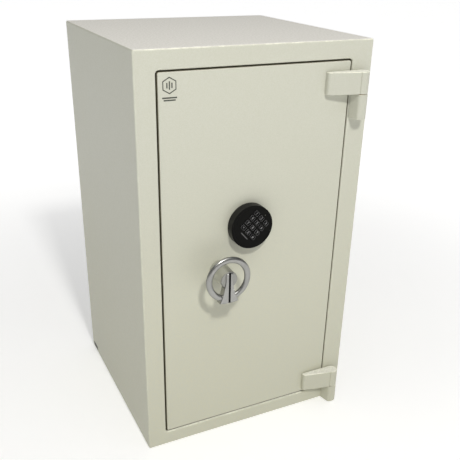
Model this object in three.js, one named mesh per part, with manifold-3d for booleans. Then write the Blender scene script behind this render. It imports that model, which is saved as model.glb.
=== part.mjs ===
// Free-standing security safe, in millimetres, +Z up.
// The origin is the centre of the base on the floor, and the door faces -Y.
// The door is closed and its bolts are drawn back, so every joint can move from here.
import * as THREE from "three";
import { RoundedBoxGeometry } from "three/addons/geometries/RoundedBoxGeometry.js";
import { mergeVertices } from "three/addons/utils/BufferGeometryUtils.js";
import Module from "manifold-3d";

// ---------------------------------------------------------------- driving dimensions
const WIDTH = 464;
const DEPTH = 435;
const HEIGHT = 800;
const GAP = 0.3; // between pieces that touch
const CUT = 5; // how far a cutting tool runs past what it cuts

const SKIN = 3; // outer sheet
const LINER = 2; // inner sheet
const BARRIER = 24.4; // fill between the sheets
const BODY_ROUND = 3.5;

const DOOR_GAP = 3.4;
const DOOR_CORNER = 3;
const OPENING = { left: 37.6, right: 420.3, bottom: 31.4, top: 766.1 };
const STOP_LIP = 12; // how far the door stop reaches into the opening
const STOP_FRONT = 16;
const STOP_BACK = 21;
const DOOR_THICK = 12;

const HINGE = { x: 434.7, out: 13.8, radius: 13.4, pin: 6, washer: 0.8, washerRadius: 10.4 };
const KNUCKLE = { footLeft: 421.2, cornerLeft: 426.2, front: 25.5, corner: 6, round: 11 };
const LEAF = { left: 364, seam: 425, height: 41, thinEnd: 10, thickEnd: 23 };
const LOWER_HINGE = { leafBottom: 43, knuckleBottom: 1 };
const UPPER_HINGE = { leafBottom: 705, knuckleBottom: 658 };

const HANDLE = { x: 152.6, z: 389, ringOut: 46, outer: 45.6, inner: 33.3 };
const HUB = { radius: 17.8, noseRadius: 16.6, bevel: 1.2, face: 50, bore: 30 };
const KEYPAD = { x: 214, z: 473, radius: 43.2, out: 19.5, turned: 49 };
const KEY = { width: 12.4, height: 9.2, across: 15.2, down: 12, rise: 5.6, proud: 0.9, depth: 5.5 };

const CASE = { left: 59.5, right: 402, bottom: 50, top: 747, back: 58, wall: 3, flange: 12 };
const BAR = { left: 86, right: 135, bottom: 92, top: 705, front: 15.9, back: 21.9 };
const BOLT = { radius: 11, length: 72, axis: 33.5, z: [150, 389, 640] };
const DOG = { right: 415, front: 27, back: 37, bottom: 110, top: 690 };
const THROW_GEAR = { module: 2, teeth: 14 };
const LOCK_GEAR = { module: 1.5, teeth: 12 };
const LOCK = { left: 183, right: 243, bottom: 436, top: 518, back: 41 };

const SHELF = { slot: 4, side: 36, front: 85, back: 398, sheet: 2, lip: 22 };
const RAIL = { thick: 2, width: 24, bottom: 60, top: 740, pitch: 50, depths: [110, 350] };

// ---------------------------------------------------------------- frame of the drawing
// Sizes are drawn from the left side and the floor, and depths from the front face
// (out is in front of it, and in is behind it); these turn them into X and Y.
const X = (fromLeft) => fromLeft - WIDTH / 2;
const IN = (depth) => depth - DEPTH / 2;
const OUT = (proud) => -DEPTH / 2 - proud;
const degrees = THREE.MathUtils.degToRad;

// ---------------------------------------------------------------- solids
const wasm = await Module();
wasm.setup();

function solid(geometry) {
  const bare = geometry.clone();
  bare.deleteAttribute("normal");
  bare.deleteAttribute("uv");
  const merged = mergeVertices(bare, 1e-4);
  const vertProperties = new Float32Array(merged.attributes.position.array);
  const triVerts = new Uint32Array(merged.index.array);
  return new wasm.Manifold(new wasm.Mesh({ numProp: 3, vertProperties, triVerts }));
}

function geometryOf(shape) {
  const { vertProperties, triVerts } = shape.getMesh();
  const geometry = new THREE.BufferGeometry();
  geometry.setAttribute("position", new THREE.BufferAttribute(vertProperties, 3));
  geometry.setIndex(new THREE.BufferAttribute(triVerts, 1));
  const flat = geometry.toNonIndexed();
  flat.computeVertexNormals();
  return flat;
}

function cut(base, ...tools) {
  return tools.reduce((left, tool) => left.subtract(tool), base);
}

function join(base, ...others) {
  return others.reduce((left, other) => left.add(other), base);
}

// A box between two depths, drawn on the front view.
function block(left, right, front, back, bottom, top) {
  const shape = new THREE.BoxGeometry(right - left, back - front, top - bottom);
  shape.translate(X((left + right) / 2), IN((front + back) / 2), (bottom + top) / 2);
  return solid(shape);
}

// A round bar along the depth, at a place on the front view.
function roundIn(x, z, radius, front, back, sides = 24) {
  const shape = new THREE.CylinderGeometry(radius, radius, back - front, sides);
  shape.translate(X(x), IN((front + back) / 2), z);
  return solid(shape);
}

// A round bar standing up, at a place on the plan view.
function roundUp(x, y, radius, bottom, top, sides = 24) {
  const shape = new THREE.CylinderGeometry(radius, radius, top - bottom, sides);
  shape.rotateX(Math.PI / 2);
  shape.translate(x, y, (bottom + top) / 2);
  return solid(shape);
}

// An outline on the front view, given a thickness along the depth.
function slab(outline, front, back, steps = 3) {
  const options = { depth: back - front, bevelEnabled: false, curveSegments: steps };
  const shape = new THREE.ExtrudeGeometry(outline, options);
  shape.rotateX(Math.PI / 2);
  shape.translate(0, IN(back), 0);
  return solid(shape);
}

// A profile of [radius, depth] points, from back to front, turned about a line along the depth.
function turned(x, z, profile, sides = 32) {
  const points = profile.map(([radius, depth]) => new THREE.Vector2(radius, IN(depth)));
  const shape = new THREE.LatheGeometry(points.reverse(), sides);
  shape.translate(X(x), 0, z);
  return solid(shape);
}

function roundedRectangle(left, right, bottom, top, radius) {
  const outline = new THREE.Shape();
  outline.moveTo(left + radius, bottom);
  outline.lineTo(right - radius, bottom);
  outline.absarc(right - radius, bottom + radius, radius, -Math.PI / 2, 0);
  outline.lineTo(right, top - radius);
  outline.absarc(right - radius, top - radius, radius, 0, Math.PI / 2);
  outline.lineTo(left + radius, top);
  outline.absarc(left + radius, top - radius, radius, Math.PI / 2, Math.PI);
  outline.lineTo(left, bottom + radius);
  outline.absarc(left + radius, bottom + radius, radius, Math.PI, 1.5 * Math.PI);
  return outline;
}

function frontRectangle({ left, right, bottom, top }, grow, radius) {
  return roundedRectangle(X(left - grow), X(right + grow), bottom - grow, top + grow, radius);
}

// ---------------------------------------------------------------- materials and nodes
const finish = (color, roughness, metalness) =>
  new THREE.MeshStandardMaterial({ color, roughness, metalness });

const MATERIALS = {
  paint: finish(0xd0d1c1, 0.5, 0.0),
  innerPaint: finish(0xb9bab0, 0.55, 0.0),
  barrier: finish(0x8e8b84, 0.9, 0.0),
  steel: finish(0x9a9b9c, 0.35, 1.0),
  hardSteel: finish(0x5d5f62, 0.45, 1.0),
  castAlloy: finish(0xb4b4b0, 0.3, 1.0),
  bronze: finish(0xb08d4f, 0.4, 1.0),
  blackPlastic: finish(0x1b1b1d, 0.45, 0.0),
  keyRubber: finish(0x222224, 0.6, 0.0),
  board: finish(0x2c5c3c, 0.5, 0.0),
};

const safe = new THREE.Group();
safe.name = "safe";

function node(name, shape, material) {
  const mesh = new THREE.Mesh(geometryOf(shape), material);
  mesh.name = name;
  safe.add(mesh);
}

// ---------------------------------------------------------------- cabinet
const LINER_OUT = SKIN + GAP + BARRIER + GAP; // from the outside of the safe to the liner's sheet
const ROOM = LINER_OUT + LINER; // from the outside of the safe to the room inside it
const ANCHOR = { radius: 7, depth: 220, x: [132, 332], cap: 11, capHigh: 3, stemBottom: 12 };
const CORNER_PLUG = { front: 392, back: 424, bottom: 5, top: 16 };

const anchorHoles = () =>
  ANCHOR.x.map((x) => roundUp(X(x), IN(ANCHOR.depth), ANCHOR.radius, -CUT, ROOM + CUT, 16));

function outerCasing() {
  const long = new RoundedBoxGeometry(WIDTH, DEPTH + 2 * BODY_ROUND, HEIGHT, 3, BODY_ROUND);
  long.translate(0, BODY_ROUND, HEIGHT / 2);
  const { front, back, bottom, top } = CORNER_PLUG;
  return cut(
    solid(long),
    block(-CUT, WIDTH + CUT, DEPTH, DEPTH + 4 * BODY_ROUND, -CUT, HEIGHT + CUT),
    block(SKIN, WIDTH - SKIN, SKIN, DEPTH + CUT, SKIN, HEIGHT - SKIN),
    slab(frontRectangle(OPENING, 0, DOOR_CORNER + DOOR_GAP), -CUT, SKIN + CUT),
    block(-CUT, SKIN + CUT, front - GAP, back + GAP, bottom - GAP, top + GAP),
    ...anchorHoles(),
  );
}

function backPanel() {
  const edge = SKIN + GAP;
  return block(edge, WIDTH - edge, DEPTH - SKIN, DEPTH, edge, HEIGHT - edge);
}

// The rebate that the door closes into: a jamb round the opening and a stop behind it.
function frontFrame() {
  const edge = SKIN + GAP;
  const wall = 4;
  const radius = DOOR_CORNER + DOOR_GAP;
  return cut(
    join(
      block(edge, WIDTH - edge, STOP_FRONT, STOP_BACK, edge, HEIGHT - edge),
      slab(frontRectangle(OPENING, wall, radius + wall), edge, STOP_FRONT + 1),
    ),
    slab(frontRectangle(OPENING, 0, radius), -CUT, STOP_FRONT),
    slab(frontRectangle(OPENING, -STOP_LIP, 3), -CUT, STOP_BACK + CUT, 2),
  );
}

const LINER_BACK = DEPTH - LINER_OUT;

function barrierFill() {
  const edge = SKIN + GAP;
  const inner = LINER_OUT - GAP;
  return cut(
    block(edge, WIDTH - edge, STOP_BACK + GAP, DEPTH - edge, edge, HEIGHT - edge),
    block(inner, WIDTH - inner, 0, LINER_BACK + GAP, inner, HEIGHT - inner),
    ...anchorHoles(),
  );
}

function innerLiner() {
  const front = STOP_BACK + GAP;
  return cut(
    block(LINER_OUT, WIDTH - LINER_OUT, front, LINER_BACK, LINER_OUT, HEIGHT - LINER_OUT),
    block(ROOM, WIDTH - ROOM, 0, LINER_BACK - LINER, ROOM, HEIGHT - ROOM),
    ...anchorHoles(),
  );
}

function anchorPlug(x) {
  const [capBottom, capTop] = [ROOM + GAP, ROOM + GAP + ANCHOR.capHigh];
  return join(
    roundUp(X(x), IN(ANCHOR.depth), ANCHOR.cap, capBottom, capTop, 20),
    roundUp(X(x), IN(ANCHOR.depth), ANCHOR.radius - GAP, ANCHOR.stemBottom, capTop, 16),
  );
}

function cornerPlug() {
  const { front, back, bottom, top } = CORNER_PLUG;
  return block(0, SKIN - GAP, front, back, bottom, top);
}

// ---------------------------------------------------------------- shelf
const SLOT = { width: 12, height: 4 };
const TAB = { thick: 3, long: 15, drop: 14 };
const slotBottom = (index) => RAIL.bottom + RAIL.pitch * (index + 0.5);

// Two distances from the left wall's side of the safe, mirrored for the right wall.
const fromWall = (wall, near, far) => (wall === "left" ? [near, far] : [WIDTH - far, WIDTH - near]);

function shelfRail(wall, depth) {
  const [left, right] = fromWall(wall, ROOM + GAP, ROOM + GAP + RAIL.thick);
  const slots = [];
  for (let index = 0; slotBottom(index) < RAIL.top; index += 1) {
    const [front, back] = [depth - SLOT.width / 2, depth + SLOT.width / 2];
    const z = slotBottom(index);
    slots.push(block(left - CUT, right + CUT, front, back, z, z + SLOT.height));
  }
  const [front, back] = [depth - RAIL.width / 2, depth + RAIL.width / 2];
  return cut(block(left, right, front, back, RAIL.bottom, RAIL.top), ...slots);
}

// A tab through a slot of the rail, with a leg that rests against the rail below it.
function shelfClip(wall, depth) {
  const half = SLOT.width / 2 - GAP;
  const bottom = slotBottom(SHELF.slot) + GAP;
  const nose = ROOM + 2 * GAP;
  const face = nose + RAIL.thick;
  const [tabLeft, tabRight] = fromWall(wall, nose, nose + TAB.long);
  const [legLeft, legRight] = fromWall(wall, face, face + TAB.thick);
  return join(
    block(tabLeft, tabRight, depth - half, depth + half, bottom, bottom + TAB.thick),
    block(legLeft, legRight, depth - half, depth + half, bottom - TAB.drop, bottom + 1),
  );
}

function shelf() {
  const { side, front, back, sheet, lip } = SHELF;
  const bottom = slotBottom(SHELF.slot) + TAB.thick + 2 * GAP;
  const lipSide = side + TAB.long + 4; // the lips stop short of the clips
  return join(
    block(side, WIDTH - side, front, back, bottom, bottom + sheet),
    block(lipSide, WIDTH - lipSide, front, front + sheet, bottom - lip, bottom + 1),
    block(lipSide, WIDTH - lipSide, back - sheet, back, bottom - lip, bottom + 1),
  );
}

// ---------------------------------------------------------------- hinges
const AXIS_X = X(HINGE.x);
const AXIS_Y = OUT(HINGE.out);

function upright(outline, bottom, top) {
  const options = { depth: top - bottom, bevelEnabled: false, curveSegments: 14 };
  const shape = new THREE.ExtrudeGeometry(outline, options);
  shape.translate(0, 0, bottom);
  return solid(shape);
}

// The fixed half: a block with a leaning side by the door and rounded front corners.
function frameKnuckle(bottom, top) {
  const { footLeft, cornerLeft, front, corner, round } = KNUCKLE;
  const right = AXIS_X + HINGE.radius;
  const outline = new THREE.Shape();
  outline.moveTo(right, OUT(GAP));
  outline.lineTo(X(footLeft), OUT(GAP));
  outline.lineTo(X(cornerLeft) - 0.15 * corner, OUT(front - corner));
  outline.quadraticCurveTo(X(cornerLeft), OUT(front), X(cornerLeft + corner), OUT(front));
  outline.lineTo(right - round, OUT(front));
  outline.absarc(right - round, OUT(front - round), round, 1.5 * Math.PI, 2 * Math.PI);
  return upright(outline, bottom, top);
}

// The moving half: a wedge-shaped leaf on the door, with a round barrel on the axis.
function doorLeaf(bottom) {
  const clear = 0.2 + GAP; // the barrel's back passes this close to the cabinet
  const seam = X(LEAF.seam);
  const chamfer = 1.5;
  const reliefLeft = X(OPENING.right - 4); // from here the leaf's back stands clear of the cabinet
  const start = Math.atan2(OUT(LEAF.thickEnd) - AXIS_Y, seam - AXIS_X);
  const wedge = new THREE.Shape();
  wedge.moveTo(X(LEAF.left), OUT(GAP));
  wedge.lineTo(X(LEAF.left), OUT(LEAF.thinEnd - chamfer));
  wedge.lineTo(X(LEAF.left + chamfer), OUT(LEAF.thinEnd));
  wedge.lineTo(seam, OUT(LEAF.thickEnd));
  wedge.absarc(AXIS_X, AXIS_Y, HINGE.out - clear, start, Math.PI / 2);
  wedge.lineTo(reliefLeft + 1, OUT(clear));
  wedge.lineTo(reliefLeft, OUT(GAP));
  return upright(wedge, bottom, bottom + LEAF.height);
}

function hingeParts(place, { leafBottom, knuckleBottom }) {
  const pinHalf = 29;
  const pinTop = leafBottom + pinHalf;
  const pinBottom = leafBottom - pinHalf;
  const washerTop = leafBottom - GAP;
  const washerBottom = washerTop - HINGE.washer;
  const bore = (from, to) => roundUp(AXIS_X, AXIS_Y, HINGE.pin + GAP, from, to);
  const knuckle = cut(
    frameKnuckle(knuckleBottom, washerBottom - GAP),
    bore(pinBottom - GAP, leafBottom),
  );
  const leaf = cut(doorLeaf(leafBottom), bore(leafBottom - CUT, pinTop + GAP));
  const pin = roundUp(AXIS_X, AXIS_Y, HINGE.pin, pinBottom, pinTop);
  const washer = cut(
    roundUp(AXIS_X, AXIS_Y, HINGE.washerRadius, washerBottom, washerTop),
    bore(washerBottom - CUT, washerTop + CUT),
  );
  node(`${place}_frame_knuckle`, knuckle, MATERIALS.paint);
  node(`${place}_door_leaf`, leaf, MATERIALS.paint);
  node(`${place}_hinge_pin`, pin, MATERIALS.steel);
  node(`${place}_thrust_washer`, washer, MATERIALS.bronze);
}

// ---------------------------------------------------------------- gears and racks
const PRESSURE = degrees(20);
const TOOTH_SHARE = 0.42; // of the pitch, under a half so that there is backlash
const ADDENDUM = 1;
const DEDENDUM = 1.25;
const involute = (angle) => Math.tan(angle) - angle;

function gearOutline(x, z, { module, teeth }, toothAt) {
  const pitch = (module * teeth) / 2;
  const base = pitch * Math.cos(PRESSURE);
  const root = pitch - DEDENDUM * module;
  const tip = pitch + ADDENDUM * module;
  const halfTooth = (TOOTH_SHARE * Math.PI) / teeth + involute(PRESSURE);
  const rising = [root, base, pitch, tip];
  const falling = [...rising].reverse();
  const half = (radius) => halfTooth - involute(Math.acos(Math.min(1, base / radius)));
  const points = [];
  const add = (radius, angle) =>
    points.push(new THREE.Vector2(X(x) + radius * Math.cos(angle), z + radius * Math.sin(angle)));
  for (let tooth = 0; tooth < teeth; tooth += 1) {
    const middle = toothAt + (2 * Math.PI * tooth) / teeth;
    rising.forEach((radius) => add(radius, middle - half(radius)));
    falling.forEach((radius) => add(radius, middle + half(radius)));
  }
  return new THREE.Shape(points);
}

// Rack teeth either side of a middle space; place(along, proud) puts a point on the front view,
// where proud is measured from the pitch line towards the gear.
function rackTeeth({ module }, from, to, place, front, back) {
  const pitch = Math.PI * module;
  const sink = 0.5; // into the bar behind the teeth
  const slope = Math.tan(PRESSURE);
  const half = (proud) => (TOOTH_SHARE * pitch) / 2 - proud * slope;
  const low = -DEDENDUM * module - sink;
  const high = ADDENDUM * module;
  const teeth = [];
  for (let index = from; index < to; index += 1) {
    const middle = (index + 0.5) * pitch;
    const corners = [
      place(middle - half(low), low),
      place(middle + half(low), low),
      place(middle + half(high), high),
      place(middle - half(high), high),
    ];
    const outline = new THREE.Shape(corners.map(([x, z]) => new THREE.Vector2(X(x), z)));
    teeth.push(slab(outline, front, back));
  }
  return teeth;
}

const throwPitch = (THROW_GEAR.module * THROW_GEAR.teeth) / 2;
const lockPitch = (LOCK_GEAR.module * LOCK_GEAR.teeth) / 2;
const QUARTER = Math.PI / 2;
const THROW = throwPitch * QUARTER; // travel of the locking bolts

// ---------------------------------------------------------------- door
const BUSH_OUTER = 10;
const SPINDLE = 7;
const SHAFT = 5;
const HARD_PLATE_BACK = 15.3;

function doorPlate() {
  return cut(
    slab(frontRectangle(OPENING, -DOOR_GAP, DOOR_CORNER), 0, DOOR_THICK),
    roundIn(HANDLE.x, HANDLE.z, BUSH_OUTER + GAP, -CUT, DOOR_THICK + CUT),
    roundIn(KEYPAD.x, KEYPAD.z, SHAFT + 1, -CUT, DOOR_THICK + CUT),
  );
}

function hardPlate() {
  const front = DOOR_THICK + GAP;
  const [left, right] = [HANDLE.x - 30, LOCK.right + 12];
  const [bottom, top] = [HANDLE.z - 34, LOCK.top + 12];
  return cut(
    block(left, right, front, HARD_PLATE_BACK, bottom, top),
    roundIn(HANDLE.x, HANDLE.z, BUSH_OUTER + GAP, 0, HARD_PLATE_BACK + CUT),
    roundIn(KEYPAD.x, KEYPAD.z, SHAFT + 1, 0, HARD_PLATE_BACK + CUT),
  );
}

function handleBush() {
  const inner = SPINDLE + GAP;
  const [front, back] = [0.5, HARD_PLATE_BACK - GAP];
  return cut(
    roundIn(HANDLE.x, HANDLE.z, BUSH_OUTER, front, back),
    roundIn(HANDLE.x, HANDLE.z, inner, front - CUT, back + CUT),
  );
}

function roundAcross(left, right, radius, depth, z, sides = 24) {
  const shape = new THREE.CylinderGeometry(radius, radius, right - left, sides);
  shape.rotateZ(Math.PI / 2);
  shape.translate(X((left + right) / 2), IN(depth), z);
  return solid(shape);
}

function boltworkCase() {
  const { left, right, bottom, top, back, wall, flange } = CASE;
  const front = DOOR_THICK + GAP;
  return cut(
    block(left, right, front, back, bottom, top),
    block(left + wall, right - wall, 0, back - wall, bottom + wall, top - wall),
    block(left + flange, right - flange, 0, back + CUT, bottom + flange, top - flange),
    ...BOLT.z.map((z) =>
      roundAcross(left - CUT, left + wall + CUT, BOLT.radius + GAP, BOLT.axis, z),
    ),
  );
}

function boltworkCover() {
  const { left, right, bottom, top, back } = CASE;
  const [inset, sheet] = [1, 2];
  const front = back + GAP;
  return block(left + inset, right - inset, front, front + sheet, bottom + inset, top - inset);
}

// A fixed bar on the hinge side that hooks behind the door stop when the door is shut.
function hingeSideDog() {
  return block(CASE.right + GAP, DOG.right, DOG.front, DOG.back, DOG.bottom, DOG.top);
}

const GUIDE = { stud: 4, head: 8, headThick: 2.5, x: 98, z: [120, 670] };

function barGuide(z) {
  const start = DOOR_THICK + GAP;
  const headFront = BAR.back + 2 * GAP;
  return join(
    roundIn(GUIDE.x, z, GUIDE.stud, start, headFront + 1, 16),
    roundIn(GUIDE.x, z, GUIDE.head, headFront, headFront + GUIDE.headThick, 20),
  );
}

// ---------------------------------------------------------------- boltwork
const ARM = { right: 236, top: 428, notchDeep: 8.5 };
const LOCK_BOLT = { left: 191, width: 12.1, front: 16.4, back: 21.4, top: 503, tip: 428.3 };

function boltBar() {
  const { front, back } = BAR;
  const pitchZ = HANDLE.z + throwPitch;
  const armBottom = pitchZ + DEDENDUM * THROW_GEAR.module;
  const slotHalf = GUIDE.stud + 2 * GAP;
  const [cutFront, cutBack] = [front - CUT, back + CUT];
  const slots = GUIDE.z.map((z) => {
    const [left, right] = [GUIDE.x - slotHalf, GUIDE.x + slotHalf + THROW];
    return block(left, right, cutFront, cutBack, z - slotHalf, z + slotHalf);
  });
  // The lock bolt drops into one notch when the bolts are drawn and the other when they are thrown.
  const notches = [0, THROW].map((shift) => {
    const left = LOCK_BOLT.left - 2 * GAP + shift;
    const right = left + LOCK_BOLT.width + 4 * GAP;
    return block(left, right, cutFront, cutBack, ARM.top - ARM.notchDeep, ARM.top + CUT);
  });
  const overTheGear = (along, proud) => [HANDLE.x + along, pitchZ - proud];
  return cut(
    join(
      block(BAR.left, BAR.right, front, back, BAR.bottom, BAR.top),
      block(BAR.right - 1, ARM.right, front, back, armBottom, ARM.top),
      ...rackTeeth(THROW_GEAR, -2, 6, overTheGear, front, back),
    ),
    ...slots,
    ...notches,
  );
}

function lockingBolt(z) {
  const left = CASE.left + 0.5;
  const chamfer = 2;
  const profile = [
    [0, 0],
    [BOLT.radius - chamfer, 0],
    [BOLT.radius, chamfer],
    [BOLT.radius, BOLT.length],
    [0, BOLT.length],
  ];
  const shape = new THREE.LatheGeometry(profile.map(([r, along]) => new THREE.Vector2(r, along)), 24);
  shape.rotateZ(-Math.PI / 2);
  shape.translate(X(left), IN(BOLT.axis), z);
  return solid(shape);
}

function spindlePinion() {
  const { front, back } = BAR;
  return cut(
    slab(gearOutline(HANDLE.x, HANDLE.z, THROW_GEAR, Math.PI / 2), front + GAP, back),
    roundIn(HANDLE.x, HANDLE.z, SPINDLE + GAP, 0, back + CUT),
  );
}

// ---------------------------------------------------------------- lock
function lockCase() {
  const wall = 3;
  const { left, right, bottom, top, back } = LOCK;
  const front = HARD_PLATE_BACK + GAP;
  const slot = { left: LOCK_BOLT.left - 2 * GAP, right: LOCK_BOLT.left + LOCK_BOLT.width + 2 * GAP };
  return cut(
    block(left, right, front, back, bottom, top),
    block(left + wall, right - wall, 0, back - wall, bottom + wall, top - wall),
    block(slot.left, slot.right, 0, LOCK_BOLT.back + 2 * GAP, bottom - CUT, bottom + wall + CUT),
  );
}

function lockBolt() {
  const { left, width, front, back, top, tip } = LOCK_BOLT;
  const pitchX = KEYPAD.x - lockPitch;
  const besideTheGear = (along, proud) => [pitchX + proud, KEYPAD.z - along];
  return join(
    block(left, left + width, front, back, tip, top),
    ...rackTeeth(LOCK_GEAR, -3, 3, besideTheGear, front, back),
  );
}

const SHAFT_END = 24; // how far in behind the door's face the two shafts reach
const MOUNT_OUT = 5.5;
const CHASSIS = { back: 6.5, front: 9 };
const BOARD = { back: 12, front: 13.6 };
const CUP_WALL = 3;
const CUP_INNER = KEYPAD.radius - CUP_WALL;

// The shaft that turns the lock, with the plate that carries the keypad on its front end.
function lockDriveShaft() {
  const gear = gearOutline(KEYPAD.x, KEYPAD.z, LOCK_GEAR, Math.PI);
  return join(
    roundIn(KEYPAD.x, KEYPAD.z, SHAFT, -CHASSIS.front, SHAFT_END),
    roundIn(KEYPAD.x, KEYPAD.z, CUP_INNER - GAP, -CHASSIS.front, -CHASSIS.back, 40),
    slab(gear, LOCK_BOLT.front, LOCK_BOLT.back),
  );
}

// ---------------------------------------------------------------- keypad
function keypadMount() {
  return cut(
    roundIn(KEYPAD.x, KEYPAD.z, CUP_INNER - 1, -MOUNT_OUT, -GAP, 40),
    roundIn(KEYPAD.x, KEYPAD.z, SHAFT + 1, -MOUNT_OUT - CUT, CUT),
  );
}

function keypadBoard() {
  return roundIn(KEYPAD.x, KEYPAD.z, CUP_INNER - GAP, -BOARD.front, -BOARD.back, 40);
}

// Where each key sits on the keypad before it is turned: a grid of three by four.
const KEY_NAMES = ["1", "2", "3", "4", "5", "6", "7", "8", "9", "clear", "0", "enter"];

function keyPlace(index) {
  const [column, row] = [index % 3, Math.floor(index / 3)];
  return [(column - 1) * KEY.across, (1.5 - row) * KEY.down + KEY.rise];
}

function keyOutline(index, grow) {
  const [along, up] = keyPlace(index);
  const [halfWidth, halfHeight] = [KEY.width / 2 + grow, KEY.height / 2 + grow];
  const corner = 2 + grow;
  const box = [along - halfWidth, along + halfWidth, up - halfHeight, up + halfHeight];
  const outline = roundedRectangle(...box, corner);
  const turn = degrees(-KEYPAD.turned);
  const points = outline.getPoints(1).map((point) => {
    point.rotateAround(new THREE.Vector2(0, 0), turn);
    return point.add(new THREE.Vector2(X(KEYPAD.x), KEYPAD.z));
  });
  return new THREE.Shape(points);
}

function keypadHousing() {
  const bevel = 1.8;
  const { radius, out } = KEYPAD;
  const profile = [
    [0, -out + CUP_WALL],
    [CUP_INNER, -out + CUP_WALL],
    [CUP_INNER, -1],
    [radius, -1],
    [radius, -out + bevel],
    [radius - bevel, -out],
    [0, -out],
  ];
  const holes = KEY_NAMES.map((_, index) => slab(keyOutline(index, GAP), -out - CUT, -out + CUT));
  return cut(turned(KEYPAD.x, KEYPAD.z, profile, 48), ...holes);
}

function keypadKey(index) {
  const front = -KEYPAD.out - KEY.proud;
  return slab(keyOutline(index, 0), front, front + KEY.depth);
}

// ---------------------------------------------------------------- handle
const LEVER = { front: 52.5, back: 37, crown: 15.2, bottom: 48.5 };
const GROOVE = { half: 2.2, depth: 1.5, top: 17, bottom: 47 }; // it runs out through the crown

function handleHub() {
  const { radius, noseRadius, bevel, face, bore } = HUB;
  const back = 0.5; // clear of the door
  return turned(HANDLE.x, HANDLE.z, [
    [0, -bore],
    [SPINDLE + GAP, -bore],
    [SPINDLE + GAP, -back],
    [radius, -back],
    [noseRadius, -face + bevel],
    [noseRadius - bevel, -face],
    [0, -face],
  ]);
}

function handleSpindle() {
  return roundIn(HANDLE.x, HANDLE.z, SPINDLE, -HUB.bore + GAP, SHAFT_END);
}

function ring(grow) {
  const { outer, inner, ringOut } = HANDLE;
  const middle = (outer + inner) / 2;
  const across = (outer - inner) / 2 + grow;
  const deep = 4.5 + grow;
  const sides = 8;
  const profile = [];
  for (let side = 0; side <= sides; side += 1) {
    const angle = (2 * Math.PI * (side % sides)) / sides;
    profile.push([middle + across * Math.cos(angle), -ringOut - deep * Math.sin(angle)]);
  }
  return turned(HANDLE.x, HANDLE.z, profile, 40);
}

// The lever runs over the hub as a raised rib and flares to a foot below the ring.
function leverOutline() {
  const [x, z] = [X(HANDLE.x), HANDLE.z];
  const { crown, bottom } = LEVER;
  const [ribHalf, neckHalf, footHalf] = [7, 9.4, 19.5];
  const [neckDown, footDown] = [15, 46];
  const ribTop = Math.sqrt(crown ** 2 - ribHalf ** 2);
  const ribAngle = Math.atan2(ribTop, ribHalf);
  const outline = new THREE.Shape();
  outline.absarc(x, z, crown, ribAngle, Math.PI - ribAngle);
  outline.lineTo(x - ribHalf, z);
  outline.quadraticCurveTo(x - ribHalf, z - neckDown / 2, x - neckHalf, z - neckDown);
  outline.quadraticCurveTo(x - neckHalf - 2, z - 30, x - footHalf, z - footDown);
  outline.quadraticCurveTo(x, z - bottom - 2, x + footHalf, z - footDown);
  outline.quadraticCurveTo(x + neckHalf + 2, z - 30, x + neckHalf, z - neckDown);
  outline.quadraticCurveTo(x + ribHalf, z - neckDown / 2, x + ribHalf, z);
  return outline;
}

function handleRing() {
  const hubClear = HUB.radius + 2 * GAP;
  return cut(
    join(slab(leverOutline(), -LEVER.front, -LEVER.back, 5), ring(0)),
    roundIn(HANDLE.x, HANDLE.z, hubClear, -HUB.face - GAP, 0, 32),
    pointerGroove(),
  );
}

function pointerGroove() {
  const { half, depth, top, bottom } = GROOVE;
  const [left, right] = [HANDLE.x - half, HANDLE.x + half];
  const front = -LEVER.front;
  return block(left, right, front - CUT, front + depth, HANDLE.z - bottom, HANDLE.z + top);
}

function pointerInlay() {
  const { half, depth, bottom } = GROOVE;
  const [left, right] = [HANDLE.x - half + GAP, HANDLE.x + half - GAP];
  const [front, back] = [-LEVER.front + GAP, -LEVER.front + depth - GAP];
  return block(left, right, front, back, HANDLE.z - bottom + GAP, HANDLE.z + LEVER.crown - 2 * GAP);
}

// ---------------------------------------------------------------- assembly
node("outer_casing", outerCasing(), MATERIALS.paint);
node("back_panel", backPanel(), MATERIALS.paint);
node("front_frame", frontFrame(), MATERIALS.paint);
node("barrier_fill", barrierFill(), MATERIALS.barrier);
node("inner_liner", innerLiner(), MATERIALS.innerPaint);
node("corner_plug", cornerPlug(), MATERIALS.blackPlastic);
ANCHOR.x.forEach((x, index) =>
  node(`anchor_plug_${index + 1}`, anchorPlug(x), MATERIALS.blackPlastic),
);

node("shelf", shelf(), MATERIALS.innerPaint);
for (const wall of ["left", "right"]) {
  for (const [index, place] of ["front", "rear"].entries()) {
    const depth = RAIL.depths[index];
    node(`shelf_rail_${wall}_${place}`, shelfRail(wall, depth), MATERIALS.steel);
    node(`shelf_clip_${wall}_${place}`, shelfClip(wall, depth), MATERIALS.steel);
  }
}

hingeParts("upper", UPPER_HINGE);
hingeParts("lower", LOWER_HINGE);

node("door_plate", doorPlate(), MATERIALS.paint);
node("hard_plate", hardPlate(), MATERIALS.hardSteel);
node("handle_bush", handleBush(), MATERIALS.bronze);
node("boltwork_case", boltworkCase(), MATERIALS.innerPaint);
node("boltwork_cover", boltworkCover(), MATERIALS.innerPaint);
node("hinge_side_dog", hingeSideDog(), MATERIALS.steel);
GUIDE.z.forEach((z, index) => node(`bar_guide_${index + 1}`, barGuide(z), MATERIALS.steel));

node("bolt_bar", boltBar(), MATERIALS.steel);
BOLT.z.forEach((z, index) => node(`locking_bolt_${index + 1}`, lockingBolt(z), MATERIALS.steel));

node("lock_case", lockCase(), MATERIALS.castAlloy);
node("lock_bolt", lockBolt(), MATERIALS.bronze);
node("lock_drive_shaft", lockDriveShaft(), MATERIALS.steel);

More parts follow.
